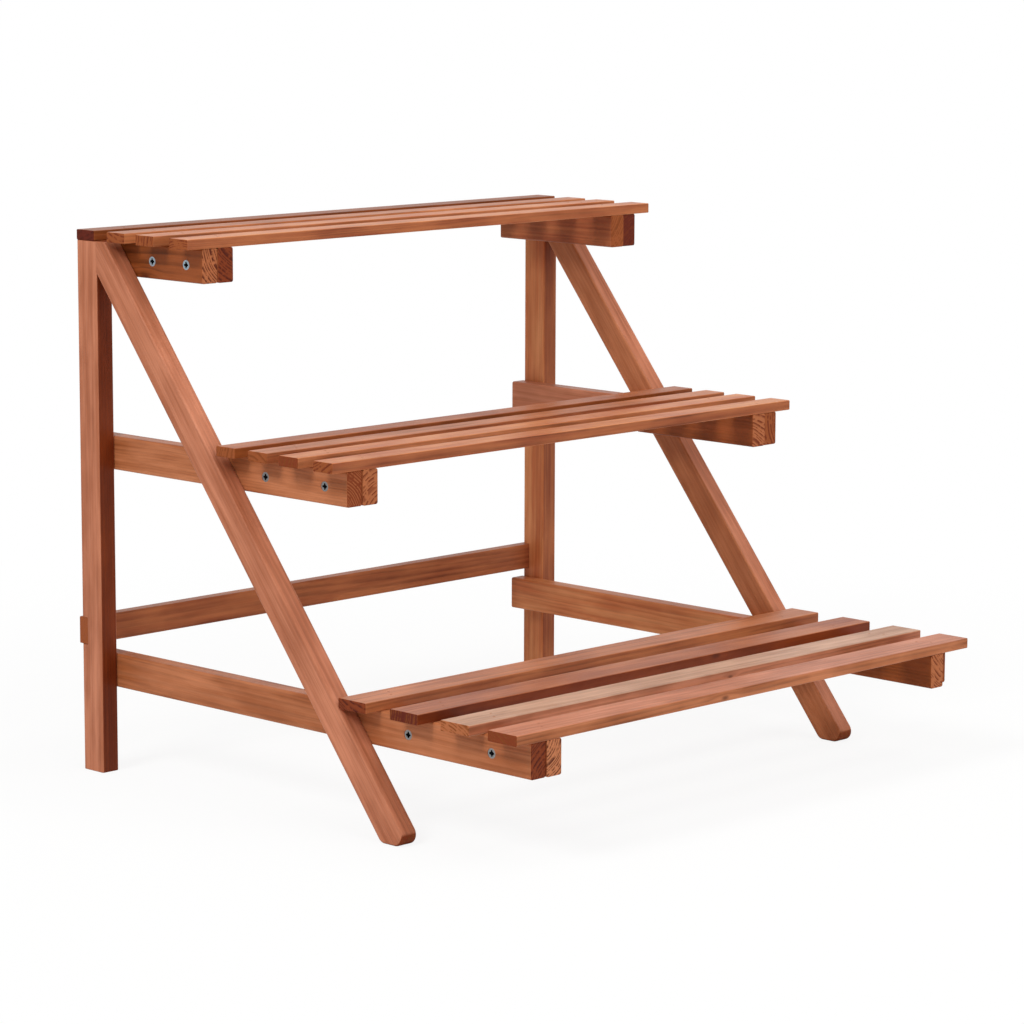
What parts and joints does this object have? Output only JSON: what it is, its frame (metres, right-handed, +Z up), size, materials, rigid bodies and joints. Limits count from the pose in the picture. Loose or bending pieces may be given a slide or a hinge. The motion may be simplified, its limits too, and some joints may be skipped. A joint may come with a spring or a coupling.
{
  "type": "tiered plant stand",
  "caption": "Tiered plant stand of stained softwood bars: slatted shelves step forward between side frames of upright rear posts, leaning front legs and level rails.",
  "frame": {"origin": "on the floor under the middle of the stand's outline, seen from above", "axes": "+X to the right along the slats, +Y to the rear, +Z up; the shelves step down towards -Y, which is the front"},
  "size_m": [0.48, 0.451, 0.4],
  "materials": {
    "stained_softwood": "planed softwood with a thin reddish brown stain, satin",
    "zinc_plated_steel": "zinc plated, bluish and slightly dull",
    "bright_steel_wire": "drawn steel wire, lightly oxidised",
    "beech_dowel": "plain turned beech, unstained"
  },
  "bodies": {
    "root": {"rear_post_left": "stained_softwood", "rear_post_right": "stained_softwood", "front_leg_left": "stained_softwood", "front_leg_right": "stained_softwood", "rear_crossbar": "stained_softwood", "top_rail_left": "stained_softwood", "top_rail_right": "stained_softwood", "top_cleat_left": "stained_softwood", "top_cleat_right": "stained_softwood", "top_slat_1": "stained_softwood", "top_slat_2": "stained_softwood", "top_slat_3": "stained_softwood", "top_slat_4": "stained_softwood", "middle_rail_left": "stained_softwood", "middle_rail_right": "stained_softwood", "middle_cleat_left": "stained_softwood", "middle_cleat_right": "stained_softwood", "middle_slat_1": "stained_softwood", "middle_slat_2": "stained_softwood", "middle_slat_3": "stained_softwood", "middle_slat_4": "stained_softwood", "bottom_rail_left": "stained_softwood", "bottom_rail_right": "stained_softwood", "bottom_cleat_left": "stained_softwood", "bottom_cleat_right": "stained_softwood", "bottom_slat_1": "stained_softwood", "bottom_slat_2": "stained_softwood", "bottom_slat_3": "stained_softwood", "bottom_slat_4": "stained_softwood", "top_shelf_screws": "zinc_plated_steel", "middle_shelf_screws": "zinc_plated_steel", "bottom_shelf_screws": "zinc_plated_steel", "crossbar_screws": "zinc_plated_steel", "top_slat_brads": "bright_steel_wire", "middle_slat_brads": "bright_steel_wire", "bottom_slat_brads": "bright_steel_wire", "rail_dowels": "beech_dowel"}
  },
  "joints": []
}
